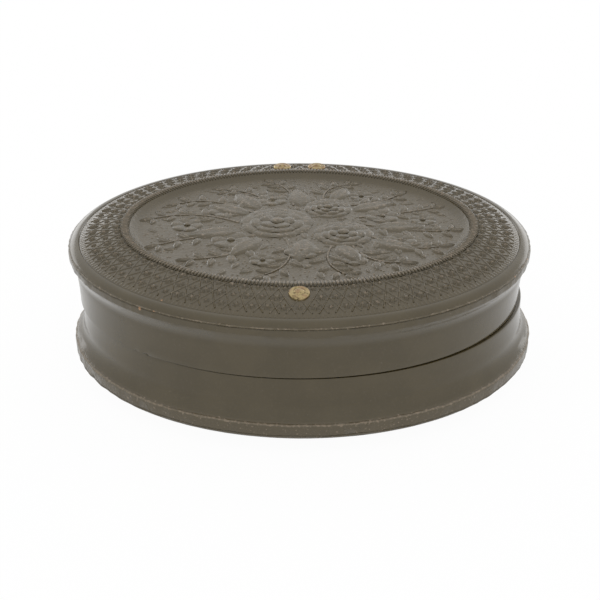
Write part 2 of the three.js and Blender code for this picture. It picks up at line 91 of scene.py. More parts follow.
REED_FOOT = CREST_HEIGHT - 0.00035
REED_BED = CREST_HEIGHT - 0.0002
PANEL_HEIGHT = CREST_HEIGHT - 0.0012
PANEL_CROWN = 0.00025
PANEL_SLOPE = 0.00015
SLOPE_TURN = 0.6
PANEL_EDGE = REED_INNER - 0.0016
THROW_FADE = 0.012
SHELL_STEPS = 480
BORDER_STEPS = 8
PANEL_STEPS = 5
NICKS = (-132.6, -129.2)
NICK_HALF = math.radians(0.6)
NICK_GAPE = 2.2
CHIPS = (
    (0.031, -128.2, 0.0086, 0.00026), (0.03095, -124.0, 0.0088, 0.00012),
    (0.03095, -28.6, 0.0088, 0.00014), (0.03095, -17.0, 0.0089, 0.00014),
    (0.0288, -124.4, 0.0096, 0.00014), (0.026, -116.4, 0.0101, 0.0001),
)
EDGE_WAVER = {"base": 0.0003, "lid": 0.0002}
WAVER_LENGTH = {"base": 0.0016, "lid": 0.0009}
LIP_MATTING = {"base": 0.7, "lid": 0.25}
BORDER_MATTING = 0.45
CREASE = 40


class Half:
    """A moulded half: its body, the way it faces, its middle, its half width and the sizes of its lip."""

    def __init__(self, body, side):
        low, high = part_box(body + "_shell")
        self.body = body
        self.side = side
        self.middle = (low.x + high.x) / 2
        self.flange = high.y
        self.border_edge = high.y - BEVEL_WIDTH
        self.ledge = FLANGE_HEIGHT - LIPS[body]
        self.arris = ARRIS_ROUNDS[body]
        self.flare = FLARES[body]
        self.flare_turn = self.ledge - FLARE_TURN[body] * self.flare

    def point(self, radius, angle, height):
        """A point on the oval of that half width, at a height above the parting plane."""
        across = radius + CHUCK_THROW * min(1, radius / THROW_FADE)
        x = self.middle + across * math.cos(angle)
        return Vector((x, radius * math.sin(angle), PARTING_Z + self.side * height))

    def border(self, radius):
        """Height of the border's ground, which bulges between the reeded ring and the bevel."""
        share = (radius - REED_OUTER) / (self.border_edge - REED_OUTER)
        chord = REED_FOOT + (BORDER_FOOT - REED_FOOT) * share
        return chord + 2 * share * (1 - share) * BORDER_BULGE - BORDER_SINK

    def panel(self, x, y):
        """Height of the panel's crowned floor."""
        share = (x / (PANEL_EDGE + CHUCK_THROW)) ** 2 + (y / PANEL_EDGE) ** 2
        return PANEL_HEIGHT + PANEL_CROWN * max(0, 1 - share)


HALVES = (Half("base", -1), Half("lid", 1))
LID = HALVES[1]


class Tone:
    """A node socket that takes part in arithmetic: each operator adds a Math node."""

    def __init__(self, finish, socket):
        self.finish = finish
        self.socket = socket

    def maths(self, operation, first, second):
        return self.finish.node("ShaderNodeMath", {"operation": operation}, {0: first, 1: second})

    def __add__(self, other):
        return self.maths("ADD", self, other)

    def __radd__(self, other):
        return self.maths("ADD", other, self)

    def __sub__(self, other):
        return self.maths("SUBTRACT", self, other)

    def __rsub__(self, other):
        return self.maths("SUBTRACT", other, self)

    def __mul__(self, other):
        return self.maths("MULTIPLY", self, other)

    def __rmul__(self, other):
        return self.maths("MULTIPLY", other, self)


class Finish:
    """A material on one Principled shader, with its constants set and its varying sockets fed by tones."""

    def __init__(self, name, constants):
        self.material = bpy.data.materials.new(name)
        self.material.use_nodes = True
        self.nodes = self.material.node_tree.nodes
        self.links = self.material.node_tree.links
        self.shader = self.nodes["Principled BSDF"]
        self.place = self.node("ShaderNodeTexCoord", {}, {}, "Object")
        self.dress(constants)

    def feed(self, socket, value):
        if isinstance(value, Tone):
            self.links.new(value.socket, socket)
        else:
            socket.default_value = value

    def dress(self, sockets):
        for name, value in sockets.items():
            self.feed(self.shader.inputs[name], value)

    def node(self, kind, settings, sockets, output=0):
        node = self.nodes.new(kind)
        for name, value in settings.items():
            setattr(node, name, value)
        for name, value in sockets.items():
            self.feed(node.inputs[name], value)
        return Tone(self, node.outputs[output])

    def noise(self, size, detail=3, stretch=(1, 1, 1)):
        """Noise whose lumps are about size metres across."""
        scaled = self.node("ShaderNodeMapping", {}, {"Vector": self.place, "Scale": stretch})
        return self.node("ShaderNodeTexNoise", {}, {"Vector": scaled, "Scale": 1 / size, "Detail": detail})

    def rise(self, value, low, high):
        """A mask that goes smoothly from 0 where value is low to 1 where it is high."""
        settings = {"interpolation_type": "SMOOTHSTEP"}
        return self.node("ShaderNodeMapRange", settings, {"Value": value, "From Min": low, "From Max": high})

    def mix(self, mask, under, over):
        return self.node("ShaderNodeMix", {"data_type": "RGBA"}, {0: mask, 6: under, 7: over}, 2)

    def open_sky(self, reach):
        """How open the surface is within reach metres, from 0 in a corner to 1."""
        return self.node("ShaderNodeAmbientOcclusion", {"samples": 8}, {"Distance": reach}, "AO")

    def bump(self, height, depth, strength=1.0):
        return self.node("ShaderNodeBump", {}, {"Height": height, "Distance": depth, "Strength": strength})


def composition_finish():
    """Dark olive-brown composition: mottled, grained, rubbed on its crests, chipped at the lid's lip and
    darkened with painted shade in its hollows.
    """
    finish = Finish("moulded_composition", {"IOR": 1.55})
    cloud = finish.rise(finish.noise(0.006, 4), 0.35, 0.7)
    fleck = finish.noise(0.0004, 3)
    streak = finish.noise(0.0007, 3, (1, 1, 0.05))
    open_sky = finish.open_sky(0.00045)
    # How closed in the surface is: it roughens the hollows and paints shade into their colour below
    hollow_shade = finish.rise(1 - open_sky, 0.25, 0.8)
    crest = finish.node("ShaderNodeAttribute", {"attribute_name": "relief"}, {}, "Fac")
    matted = finish.node("ShaderNodeAttribute", {"attribute_name": "matted"}, {}, "Fac")
    rubbed = finish.rise(crest + 1.1 * finish.noise(0.0012, 4), 1.1, 1.75)
    scuffed = finish.rise(finish.noise(0.0004, 2) + 0.22 * crest + 0.06 * matted, 0.76, 0.86)
    brown = finish.mix(cloud, (0.052, 0.038, 0.0125, 1), (0.062, 0.046, 0.0175, 1))
    grained = finish.mix(finish.rise(fleck, 0.5, 0.8) * 0.45, brown, (0.076, 0.058, 0.03, 1))
    dulled = finish.mix(matted * 0.55, grained, (0.1, 0.079, 0.047, 1))
    worn = finish.mix(rubbed * 0.7, dulled, (0.15, 0.12, 0.08, 1))
    flecked = finish.mix(scuffed * 0.6, worn, (0.24, 0.185, 0.13, 1))
    # Painted shade: the colour is drawn towards near-black where the surface is closed in
    colour = finish.mix(hollow_shade * 0.75, flecked, (0.02, 0.016, 0.008, 1))
    for radius, degrees, height, size in CHIPS:
        spot = LID.point(radius, math.radians(degrees), height)
        pair = {0: finish.place, 1: spot}
        away = finish.node("ShaderNodeVectorMath", {"operation": "DISTANCE"}, pair, "Value")
        chip = finish.rise(away + 0.0005 * fleck, size + 0.0003, size + 0.0002)
        colour = finish.mix(chip, colour, (0.32, 0.18, 0.09, 1))
    pits = matted * (finish.noise(0.0005, 5) - 0.5) * 16
    finish.dress({
        "Base Color": colour,
        "Roughness": 0.13 + 0.06 * cloud + 0.06 * fleck + 0.3 * hollow_shade + 0.12 * matted + 0.2 * rubbed,
        "Normal": finish.bump(fleck * 0.4 + streak * 1.2 + pits, 0.000015, 0.5),
    })
    return finish


COMPOSITION = composition_finish()


def curve(start, corner, end, steps):
    """Points after start on the curve that leaves start towards corner and reaches end."""
    shares = [step / steps for step in range(1, steps + 1)]
    return [
        tuple((1 - t) ** 2 * a + 2 * t * (1 - t) * b + t * t * c for a, b, c in zip(start, corner, end))
        for t in shares
    ]


def half_profile(half):
    """Section from the middle of the cavity over the rim, wall, lip and border to the panel's middle."""
    edge = half.flange
    shoulder = (edge - BEVEL_SHOULDER, BORDER_FOOT)
    profile = [(0, CAVITY_DEPTH), (CAVITY_RADIUS - CAVITY_FILLET, CAVITY_DEPTH)]
    fillet_end = (CAVITY_RADIUS, CAVITY_DEPTH - CAVITY_FILLET)
    profile += curve(profile[-1], (CAVITY_RADIUS, CAVITY_DEPTH), fillet_end, 4)
    profile.append((CAVITY_RADIUS, RIM + RIM_ROUND))
    profile += curve(profile[-1], (CAVITY_RADIUS, RIM), (CAVITY_RADIUS + RIM_ROUND, RIM), 3)
    profile.append((WAIST_RADIUS - RIM_ROUND, RIM))
    profile += curve(profile[-1], (WAIST_RADIUS, RIM), (WAIST_RADIUS, RIM + RIM_ROUND), 3)
    ledge = half.ledge
    wall_end = ledge - half.flare
    profile += curve(profile[-1], (WAIST_RADIUS, wall_end / 2), (WALL_RADIUS, wall_end), 5)
    profile += curve(profile[-1], (WALL_RADIUS, half.flare_turn), (edge - half.arris, ledge), 9)
    profile += curve(profile[-1], (edge, ledge + half.arris / 4), (edge, ledge + half.arris), 5)
    quirk = FLANGE_HEIGHT - LIP_ROUND - QUIRK
    profile += [(edge, quirk - QUIRK), (edge - QUIRK, quirk), (edge, quirk + QUIRK)]
    profile += curve(profile[-1], (edge, FLANGE_HEIGHT), (edge - LIP_ROUND, FLANGE_HEIGHT), 4)
    profile += curve(profile[-1], shoulder, (half.border_edge + QUIRK, BORDER_FOOT), 7)
    profile.append((half.border_edge, BORDER_FOOT - BORDER_SINK - BORDER_GROOVE))
    for step in range(BORDER_STEPS + 1):
        radius = half.border_edge - QUIRK + (REED_OUTER - half.border_edge + QUIRK) * step / BORDER_STEPS
        profile.append((radius, half.border(radius)))
    profile += [(REED_RADIUS + REED_CROWN, REED_BED), (REED_RADIUS - REED_CROWN, REED_BED)]
    profile.append((REED_INNER, REED_FOOT))
    slope_turn = (REED_INNER - SLOPE_TURN * (REED_INNER - PANEL_EDGE), PANEL_HEIGHT + PANEL_SLOPE)
    profile += curve(profile[-1], slope_turn, (PANEL_EDGE, PANEL_HEIGHT), 8)
    for step in range(1, PANEL_STEPS + 1):
        share = 1 - step / PANEL_STEPS
        profile.append((PANEL_EDGE * share, PANEL_HEIGHT + PANEL_CROWN * (1 - share * share)))
    return profile


def turned(profile, steps):
    """A closed shape spun round the upright axis from a section of (radius, height) points."""
    mesh = bmesh.new()
    corners = [mesh.verts.new((radius, 0, height)) for radius, height in profile]
    edges = [mesh.edges.new(pair) for pair in zip(corners, corners[1:])]
    turn = {"cent": (0, 0, 0), "axis": (0, 0, 1), "angle": 2 * math.pi, "steps": steps, "use_merge": True}
    bmesh.ops.spin(mesh, geom=corners + edges, **turn)
    bmesh.ops.remove_doubles(mesh, verts=mesh.verts, dist=1e-7)
    return mesh


def chucked(mesh, half):
    """Draws a turned shape out into the half's oval and sets it off the parting plane."""
    for vert in mesh.verts:
        angle = math.atan2(vert.co.y, vert.co.x)
        vert.co = half.point(math.hypot(vert.co.x, vert.co.y), angle, vert.co.z)


def settle_rim(mesh):
    """Closes the parting gap at the left, but for two nicks, and widens it a little at the right."""
    for vert in mesh.verts:
        if vert.co.z <= RIM_REACH:
            angle = math.atan2(vert.co.y, vert.co.x)
            right = math.cos(angle)
            gape = min(1, max(0, (right - GAPE_START) / GAPE_RUN))
            if any(abs(angle - math.radians(nick)) < NICK_HALF for nick in NICKS):
                gape = NICK_GAPE
            wider = WIDER_GAPE * max(0, right - WIDER_START)
            vert.co.z *= FLUSH_SHARE + (1 - FLUSH_SHARE) * gape + wider


def wear(mesh, half):
    """Marks the matted face, tightens the flare at the ends, rubs the lip and lets it waver."""
    relief = mesh.verts.layers.float.new("relief")
    matted = mesh.verts.layers.float.new("matted")
    for vert in mesh.verts:
        radius = math.hypot(vert.co.x, vert.co.y)
        if radius < half.border_edge and vert.co.z > CAVITY_DEPTH + QUIRK:
            vert[matted] = 1 if radius < PANEL_EDGE + QUIRK else BORDER_MATTING
        climb = 1 - (half.ledge - vert.co.z) / half.flare
        if 0 < climb < 1 and WALL_RADIUS < radius < half.flange - half.arris:
            hold = END_HOLD * (vert.co.x / radius) ** 2 * (1 - climb)
            vert.co.xy *= 1 - hold * (radius - WALL_RADIUS) / radius
        if radius > half.flange - half.arris - QUIRK:
            arris = half.ledge + ARRIS_INSET if half.side < 0 else FLANGE_HEIGHT - ARRIS_INSET
            away = math.hypot(radius - half.flange + ARRIS_INSET, vert.co.z - arris)
            vert[relief] = max(LIP_RUB[half.body], ARRIS_RUB[half.body] * (1 - away / RUB_REACH))
            vert[matted] = LIP_MATTING[half.body]
            waver = 0.5 + 0.5 * noise.noise(vert.co / WAVER_LENGTH[half.body])
            vert.co.xy *= 1 - EDGE_WAVER[half.body] * waver / radius


def shown(mesh, name, finish, body, crease=CREASE):
    """Makes a bmesh a piece with outward faces that rides on a body."""
    bmesh.ops.recalc_face_normals(mesh, faces=mesh.faces)
    data = bpy.data.meshes.new(name)
    mesh.to_mesh(data)
    mesh.free()
    data.materials.append(finish.material)
    data.shade_smooth()
    data.set_sharp_from_angle(angle=math.radians(crease))
    piece = bpy.data.objects.new(name, data)
    bpy.context.scene.collection.objects.link(piece)
    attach(piece, body)
    return piece


def block(low, high):
    """A square-edged cutter between two corners."""
    mesh = bmesh.new()
    middle = (Vector(low) + Vector(high)) / 2
    size = Matrix.Diagonal((*(Vector(high) - Vector(low)), 1))
    bmesh.ops.create_cube(mesh, size=1, matrix=Matrix.Translation(middle) @ size)
    return mesh


def apply_modifiers(piece):
    evaluated = piece.evaluated_get(bpy.context.evaluated_depsgraph_get())
    piece.data = bpy.data.meshes.new_from_object(evaluated)
    piece.modifiers.clear()


def cut(piece, cutters):
    """Cuts bmesh cutters out of a piece."""
    knives = []
    for mesh in cutters:
        data = bpy.data.meshes.new("cutter")
        mesh.to_mesh(data)
        mesh.free()
        knife = bpy.data.objects.new("cutter", data)
        bpy.context.scene.collection.objects.link(knife)
        step = piece.modifiers.new("cut", "BOOLEAN")
        step.object = knife
        step.solver = "EXACT"
        knives.append(knife)
    apply_modifiers(piece)
    for knife in knives:
        bpy.data.objects.remove(knife)
    piece.data.set_sharp_from_angle(angle=math.radians(CREASE))


CLEARANCE = 0.0003
CATCH_ROOM = 0.0005
BARREL_RADIUS = 0.00105
SCALLOP_OVERRUN = 0.001
LEAF_LOW, LEAF_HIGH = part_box("base_hinge_leaf")
HINGE_HALF = LEAF_HIGH.x + CLEARANCE
CATCH_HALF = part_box("base_catch_plate")[1].x + CLEARANCE + CATCH_ROOM
STRIP_END = LEAF_LOW.y
INLET = -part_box("base_catch_plate")[0].y + CLEARANCE
BARREL_Y = LEAF_HIGH.y - BARREL_RADIUS
SCALLOP = 0.00135
SCALLOP_STEPS = 40
WEB_SLOT = 0.00083
KNUCKLES = {"base": ((-0.007, -0.0025), (0.0025, 0.007)), "lid": ((-0.0028, 0.0018),)}


def pocket_cutters(half):
    """Inlets for the hinge leaf and the catch, slots for the hinge's webs and a scallop round its barrel."""
    depth = sorted((PARTING_Z, PARTING_Z + half.side * CAVITY_DEPTH))
    slot = sorted((PARTING_Z, PARTING_Z + half.side * WEB_SLOT))
    middle = half.middle
    cutters = [
        block((middle - HINGE_HALF, STRIP_END, depth[0]), (middle + HINGE_HALF, INLET, depth[1])),
        block((middle - CATCH_HALF, -INLET, depth[0]), (middle + CATCH_HALF, -STRIP_END, depth[1])),
    ]
    for left, right in KNUCKLES[half.body]:
        low = (left - CLEARANCE, STRIP_END, slot[0])
        high = (right + CLEARANCE, half.flange, slot[1])
        cutters.append(block(low, high))
    barrel = bmesh.new()
    lying = Matrix.Translation((0, BARREL_Y, PARTING_Z)) @ Matrix.Rotation(math.pi / 2, 4, "Y")
    length = 2 * HINGE_HALF + SCALLOP_OVERRUN
    bmesh.ops.create_cone(
        barrel, cap_ends=True, segments=SCALLOP_STEPS, radius1=SCALLOP, radius2=SCALLOP, depth=length,
        matrix=lying)
    return cutters + [barrel]


for half in HALVES:
    moulding = turned(half_profile(half), SHELL_STEPS)
    settle_rim(moulding)
    wear(moulding, half)
    chucked(moulding, half)
    shell = shown(moulding, half.body + "_moulding", COMPOSITION, half.body)
    cut(shell, pocket_cutters(half))
    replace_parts(shell, half.body + "_shell")

# The carved border
# A milled ring, a diaper of star florets in a diamond trellis and a reeded ring round the panel, all raised
# in the same pressing as the half that carries them.
CELLS = 84
ROWS = 3
FIRST_ROW = 0.00065
LAST_ROW = 0.00115
FLORET_RADIUS = 0.0008
FLORET_HEIGHT = 0.00028
FLORET_POINTS = 6
FLORET_SKIRT = 1.3 * FLORET_RADIUS
FLORET_TIP = 0.25 * FLORET_RADIUS
FLORET_DEPTH = 1.5 * FLORET_HEIGHT
FLORET_PEAK = 0.3 * FLORET_HEIGHT
FLORET_VALLEY = 0.5
FLORET_RUB = 1.0
FLORET_JITTER = 0.25
DIAPER_SEED = 11
RIB_WIDTH = 0.00045
RIB_HEIGHT = 0.00012
RIB_CROWN = 0.2
RIB_RUB = 0.7
MILLED_STROKES = 300
MILLED_WIDTH = 0.0008
MILLED_GAP = 0.00015
STROKE_THICKNESS = 0.0005
STROKE_HEIGHT = 0.00003
STROKE_CROWN = 0.3
STROKE_RUB = 0.3
REEDS = 284
REED_SIZE = (0.00082, 0.00027, 0.0004)
REED_STEPS = 8
REED_RUB = 1.2
BEAD_RINGS = 5
RIVET_ROOM = 0.0018


def even_angles(count, radius):
    """Chuck angles at equal steps of length round the oval of that half width."""
    samples = 3600
    lengths = [0.0]
    for sample in range(samples):
        angle = 2 * math.pi * (sample + 0.5) / samples
        step = math.hypot((radius + CHUCK_THROW) * math.sin(angle), radius * math.cos(angle))
        lengths.append(lengths[-1] + step)
    angles = []
    for index in range(count):
        place = lengths[-1] * index / count
        sample = bisect.bisect_right(lengths, place) - 1
        part = (place - lengths[sample]) / (lengths[sample + 1] - lengths[sample])
        angles.append(2 * math.pi * (sample + part) / samples)
    return angles


def frame_at(origin, along, outward, side):
    """A frame whose x runs along, whose y runs outward and whose z stands off the surface."""
    off = outward.cross(along).normalized()
    if off.z * side < 0:
        off.negate()
    frame_here = Matrix((along, outward, off)).transposed().to_4x4()
    frame_here.translation = origin
    return frame_here


def seat(half, radius, angle, height):
    """The frame of a motif on a half: height gives the surface's height at a radius."""
    nudge = 0.0001
    origin = half.point(radius, angle, height(radius))
    along = half.point(radius, angle + nudge, height(radius)) - origin
    outward = half.point(radius + nudge, angle, height(radius + nudge)) - origin
    return frame_at(origin, along.normalized(), outward.normalized(), half.side)


def motif_mesh(mesh, name, height, matting=BORDER_MATTING):
    """Keeps a bmesh as a motif, with how high on it each point is as its relief."""
    relief = mesh.verts.layers.float.new("relief")
    matted = mesh.verts.layers.float.new("matted")
    for vert in mesh.verts:
        vert[relief] = vert.co.z / height
        vert[matted] = matting
    data = bpy.data.meshes.new(name)
    mesh.to_mesh(data)
    mesh.free()
    return data


def stamp(mesh, motif, place):
    """Adds a copy of a motif to a bmesh."""
    copy = motif.copy()
    copy.transform(place)
    mesh.from_mesh(copy)
    bpy.data.meshes.remove(copy)


def floret_motif():
    """A low six-pointed star that rises to a peak, with its foot below the ground."""
    mesh = bmesh.new()
    bmesh.ops.create_cone(
        mesh, cap_ends=True, segments=2 * FLORET_POINTS, radius1=FLORET_SKIRT, radius2=FLORET_TIP,
        depth=FLORET_DEPTH, matrix=Matrix.Translation((0, 0, FLORET_HEIGHT - FLORET_DEPTH / 2)))
    top = max(mesh.faces, key=lambda face: face.calc_center_median().z)
    bmesh.ops.poke(mesh, faces=[top], offset=FLORET_PEAK)
    for vert in mesh.verts:
        if math.cos(FLORET_POINTS * math.atan2(vert.co.y, vert.co.x)) < 0:
            vert.co.xy *= FLORET_VALLEY
    return motif_mesh(mesh, "floret", FLORET_HEIGHT / FLORET_RUB)


def ridge_motif(name, length, width, height, crown, rub=1.0):
    """A straight rib along x whose crown says how wide its top is, rubbed as rub says."""
    mesh = bmesh.new()
    bmesh.ops.create_cube(mesh, size=1, matrix=Matrix.Diagonal((length, width, 2 * height, 1)))
    for vert in mesh.verts:
        if vert.co.z > 0:
            vert.co.y *= crown
    return motif_mesh(mesh, name, height / rub)


def bead_motif(name, size, steps, rub=1.0):
    """A lying bead, as long, wide and high as size says, rubbed as rub says."""
    mesh = bmesh.new()
    bmesh.ops.create_uvsphere(mesh, u_segments=steps, v_segments=BEAD_RINGS, radius=1)
    bmesh.ops.scale(mesh, vec=size, verts=mesh.verts)
    return motif_mesh(mesh, name, size[2] / rub)


FLORET = floret_motif()
RIB = ridge_motif("rib", 1, RIB_WIDTH, RIB_HEIGHT, RIB_CROWN, RIB_RUB)
STROKE = ridge_motif("stroke", MILLED_WIDTH, STROKE_THICKNESS, STROKE_HEIGHT, STROKE_CROWN, STROKE_RUB)
REED = bead_motif("reed", REED_SIZE, REED_STEPS, REED_RUB)
RIVETS = ("_hinge_rivet_left", "_hinge_rivet_right", "_catch_rivet")


def rivet_middles(half):
    return [(Vector(low) + Vector(high)) / 2 for low, high in (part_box(half.body + name) for name in RIVETS)]


def clear_of(spots, place):
    """True where a motif doesn't reach under one of the rivet heads."""
    return all(math.hypot(place.x - spot.x, place.y - spot.y) > RIVET_ROOM for spot in spots)


def carve_diaper(half):
    """Florets in staggered rows, with a trellis of ribs between them."""
    mesh = bmesh.new()
    inner = REED_OUTER
    outer = half.border_edge - MILLED_GAP - MILLED_WIDTH
    row_pitch = (outer - inner - FIRST_ROW - LAST_ROW) / (ROWS - 1)
    rows = [inner + FIRST_ROW + row * row_pitch for row in range(-1, ROWS + 1)]
    spots = rivet_middles(half)
    steps = even_angles(2 * CELLS, (inner + outer) / 2)
    hand = random.Random(DIAPER_SEED)
    for row in range(ROWS):
        for cell in range(CELLS):
            place = seat(half, rows[row + 1], steps[2 * cell + row % 2], half.border)
            size = 1 + FLORET_JITTER * hand.uniform(-1, 1)
            turn = Matrix.Rotation(hand.uniform(0, 2 * math.pi / FLORET_POINTS), 4, "Z")
            if clear_of(spots, place.translation):
                stamp(mesh, FLORET, place @ turn @ Matrix.Diagonal((size, size, size, 1)))
    for row, (low, high) in enumerate(zip(rows, rows[1:])):
        for cell in range(CELLS):
            for lean in (-1, 1):
                foot = 2 * cell + row % 2
                begin = steps[foot]
                turn = (steps[(foot + lean) % (2 * CELLS)] - begin + math.pi) % (2 * math.pi) - math.pi
                ends = []
                for radius in (max(low, inner), min(high, outer)):
                    angle = begin + turn * (radius - low) / (high - low)
                    ends.append(half.point(radius, angle, half.border(radius)))
                along = ends[1] - ends[0]
                middle = (ends[0] + ends[1]) / 2
                off = seat(half, (low + high) / 2, begin, half.border).col[2].xyz
                if clear_of(spots, middle):
                    stamp(mesh, RIB, frame_at(middle, along, off.cross(along).normalized(), half.side))
    return mesh


def carve_ring(half, motif, count, radius, height):
    """One motif repeated round an oval, lying outward."""
    mesh = bmesh.new()
    for angle in even_angles(count, radius):
        stamp(mesh, motif, seat(half, radius, angle, height) @ Matrix.Rotation(math.pi / 2, 4, "Z"))
    return mesh


for half in HALVES:
    shown(carve_diaper(half), half.body + "_diaper", COMPOSITION, half.body, crease=30)
    milled_radius = half.border_edge - MILLED_GAP - MILLED_WIDTH / 2
    milled = carve_ring(half, STROKE, MILLED_STROKES, milled_radius, half.border)
    shown(milled, half.body + "_milled_ring", COMPOSITION, half.body)
    reed_height = CREST_HEIGHT - REED_SIZE[2]
    reeded = carve_ring(half, REED, REEDS, REED_RADIUS, lambda radius: reed_height)
    shown(reeded, half.body + "_reeded_ring", COMPOSITION, half.body, crease=75)

# The spray on the panel
# Roses, blossoms and leafy sprigs in low relief, pressed with the half that carries them and kept below the
# crest of the reeded ring.
SPRAY_SINK = 0.00008
SPRAY_MATTING = 0.5
ROSES = ((-0.0036, 0.0008, 0.0062), (0.0070, -0.0034, 0.0050), (0.0048, 0.0066, 0.0042))
BLOSSOMS = (
    (-0.0122, 0.0058, 0.0031), (-0.0108, -0.0056, 0.0033), (0.0136, 0.0036, 0.003),
    (0.016, -0.0056, 0.0027), (-0.0182, 0.0002, 0.0028), (0.0004, -0.0096, 0.003),
    (-0.0046, 0.0104, 0.0028), (0.0202, 0.0022, 0.0023), (-0.0056, -0.0126, 0.0022),
    (0.0106, 0.012, 0.0022), (0.0084, -0.0122, 0.0023),
)
BROAD_LEAVES = (
    (-0.008, 0.004, 150, 0.0085), (-0.009, -0.002, 192, 0.0095), (-0.006, -0.0045, 236, 0.0085),
    (0.001, -0.005, 262, 0.0085), (0.006, -0.007, 296, 0.0075), (0.011, -0.0055, 332, 0.0085),
    (0.0115, -0.001, 4, 0.009), (0.0085, 0.0055, 28, 0.0085), (0.0055, 0.0095, 66, 0.007),
    (0.0005, 0.007, 98, 0.0085), (-0.0065, 0.006, 122, 0.0085),
)
SPRIGS = (
    ((-0.008, 0.005), (-0.015, 0.012), (-0.02, 0.009)),
    ((-0.01, 0.001), (-0.017, 0.006), (-0.0236, 0.003)),
    ((-0.009, -0.003), (-0.016, -0.004), (-0.0218, -0.007)),
    ((-0.006, -0.006), (-0.01, -0.012), (-0.016, -0.0122)),
    ((-0.002, -0.006), (0.0, -0.014), (-0.005, -0.0174)),
    ((0.005, -0.008), (0.003, -0.014), (0.0068, -0.0172)),
    ((0.008, -0.007), (0.01, -0.014), (0.0152, -0.0134)),
    ((0.011, -0.004), (0.017, -0.01), (0.0216, -0.0078)),
    ((0.011, 0.0), (0.019, -0.003), (0.024, -0.0018)),
    ((0.01, 0.003), (0.018, 0.005), (0.0222, 0.007)),
    ((0.008, 0.008), (0.013, 0.008), (0.0166, 0.0122)),
    ((0.004, 0.01), (0.004, 0.016), (0.0082, 0.017)),
    ((-0.001, 0.008), (-0.001, 0.015), (-0.0042, 0.0176)),
    ((-0.005, 0.008), (-0.007, 0.014), (-0.0124, 0.0146)),
)
PEBBLES = 1000
PEBBLE_SIZE = (0.00026, 0.00026, 0.00016)
FILLERS = 130
FILLER_LENGTH = 0.0025
FILLER_RISE = 0.00024
FILLER_SIZES = (0.7, 1.2)
FILLER_SWING = 1.1
FILLER_EDGE = 0.9
GROUND_SEED = 7
STREW_REACH = 0.97
STREW_JITTER = 0.3
GOLDEN_TURN = math.pi * (3 - math.sqrt(5))
SPRIG_PAIRS = 4
LEAF_LENGTH = 0.0038
LEAF_HALF = 0.25
LEAF_RISE = 0.00036
LEAF_TAPER = 0.35
LEAF_LEAN = math.radians(58)
TIP_LEAF = (0.8 * LEAF_LENGTH, 0.7 * LEAF_LENGTH, LEAF_RISE)
STEM_WIDTH = 0.0007
STEM_HEIGHT = 0.00022
STEM_TAPER = 0.5
TWIG_OVERLAP = 1.2
TWIG_CROWN = 0.4
BROAD_RISE = 0.00048
PETAL_RISE = 0.0004
PETAL_HALF = 0.42
BOSS_SHARE = 0.2
BOSS_RISE = 0.8 * PETAL_RISE
BOSS_LIFT = 0.00015
WHORL_RISE = 0.0006
ROSE_WHORLS = ((9, 1.0, 0.0), (7, 0.74, 0.3), (5, 0.5, 0.55))
BLOSSOM_WHORLS = ((6, 1.0, 0.0),)
BLADE_ROWS = 10
BLADE_COLUMNS = 6


def blade(name, outline, surface):
    """A leaf or petal of unit length along x, closed underneath, from its half width and its height."""
    mesh = bmesh.new()
    bmesh.ops.create_grid(mesh, x_segments=BLADE_ROWS, y_segments=BLADE_COLUMNS, size=0.5)
    for vert in mesh.verts:
        along = min(1, max(0, vert.co.x + 0.5))
        across = 2 * vert.co.y
        vert.co = (along, across * outline(along), surface(along, across))
    bmesh.ops.remove_doubles(mesh, verts=mesh.verts, dist=0.0001)
    bmesh.ops.contextual_create(mesh, geom=[edge for edge in mesh.edges if edge.is_boundary])
    return motif_mesh(mesh, name, 1, SPRAY_MATTING)


def leaf_outline(along):
    tooth = 1.1 if round(along * BLADE_ROWS) % 2 else 0.92
    return LEAF_HALF * tooth * math.sin(math.pi * along ** 0.85) ** 0.9


def leaf_surface(along, across):
    vein = 0.9 if round(along * BLADE_ROWS) % 2 else 1.0
    midrib = 0.6 if abs(across) < 0.1 else 1.0
    return vein * midrib * max(0, 1 - across * across) ** 0.6 * math.sin(math.pi * along) ** 0.5


def petal_outline(along):
    return PETAL_HALF * max(0, math.sin(math.pi * along ** 1.5)) ** 0.6 + 0.05 * (1 - along)


def petal_surface(along, across):
    cup = (0.2 + 0.8 * along) * (1 - 0.5 * across * across)
    return cup * math.sqrt(1 - along ** 8)


LEAF = blade("leaf", leaf_outline, leaf_surface)
PETAL = blade("petal", petal_outline, petal_surface)
TWIG = ridge_motif("twig", 1, 1, 1, TWIG_CROWN)
BOSS = bead_motif("boss", (1, 1, 1), steps=10)
PEBBLE = bead_motif("pebble", PEBBLE_SIZE, steps=6)


def lay(half, x, y, angle, size, lift=0.0):
    """The frame of a motif on the panel, turned by angle, with its length, width and height from size."""
    height = half.panel(x, y) - SPRAY_SINK + lift
    spot = Matrix.Translation((half.middle + x, y, PARTING_Z + half.side * height))
    off = Matrix.Diagonal((1, 1, half.side, 1))
    return spot @ off @ Matrix.Rotation(angle, 4, "Z") @ Matrix.Diagonal((*size, 1))


def lay_flower(mesh, half, x, y, radius, whorls):
    """Whorls of petals round a boss."""
    for count, reach, lift in whorls:
        size = (radius * reach, radius * reach, PETAL_RISE)
        for petal in range(count):
            angle = 2 * math.pi * (petal + lift) / count + x / radius
            stamp(mesh, PETAL, lay(half, x, y, angle, size, lift * WHORL_RISE))
    boss = BOSS_SHARE * radius
    boss_lift = whorls[-1][2] * WHORL_RISE + BOSS_LIFT
    stamp(mesh, BOSS, lay(half, x, y, 0, (boss, boss, BOSS_RISE), boss_lift))


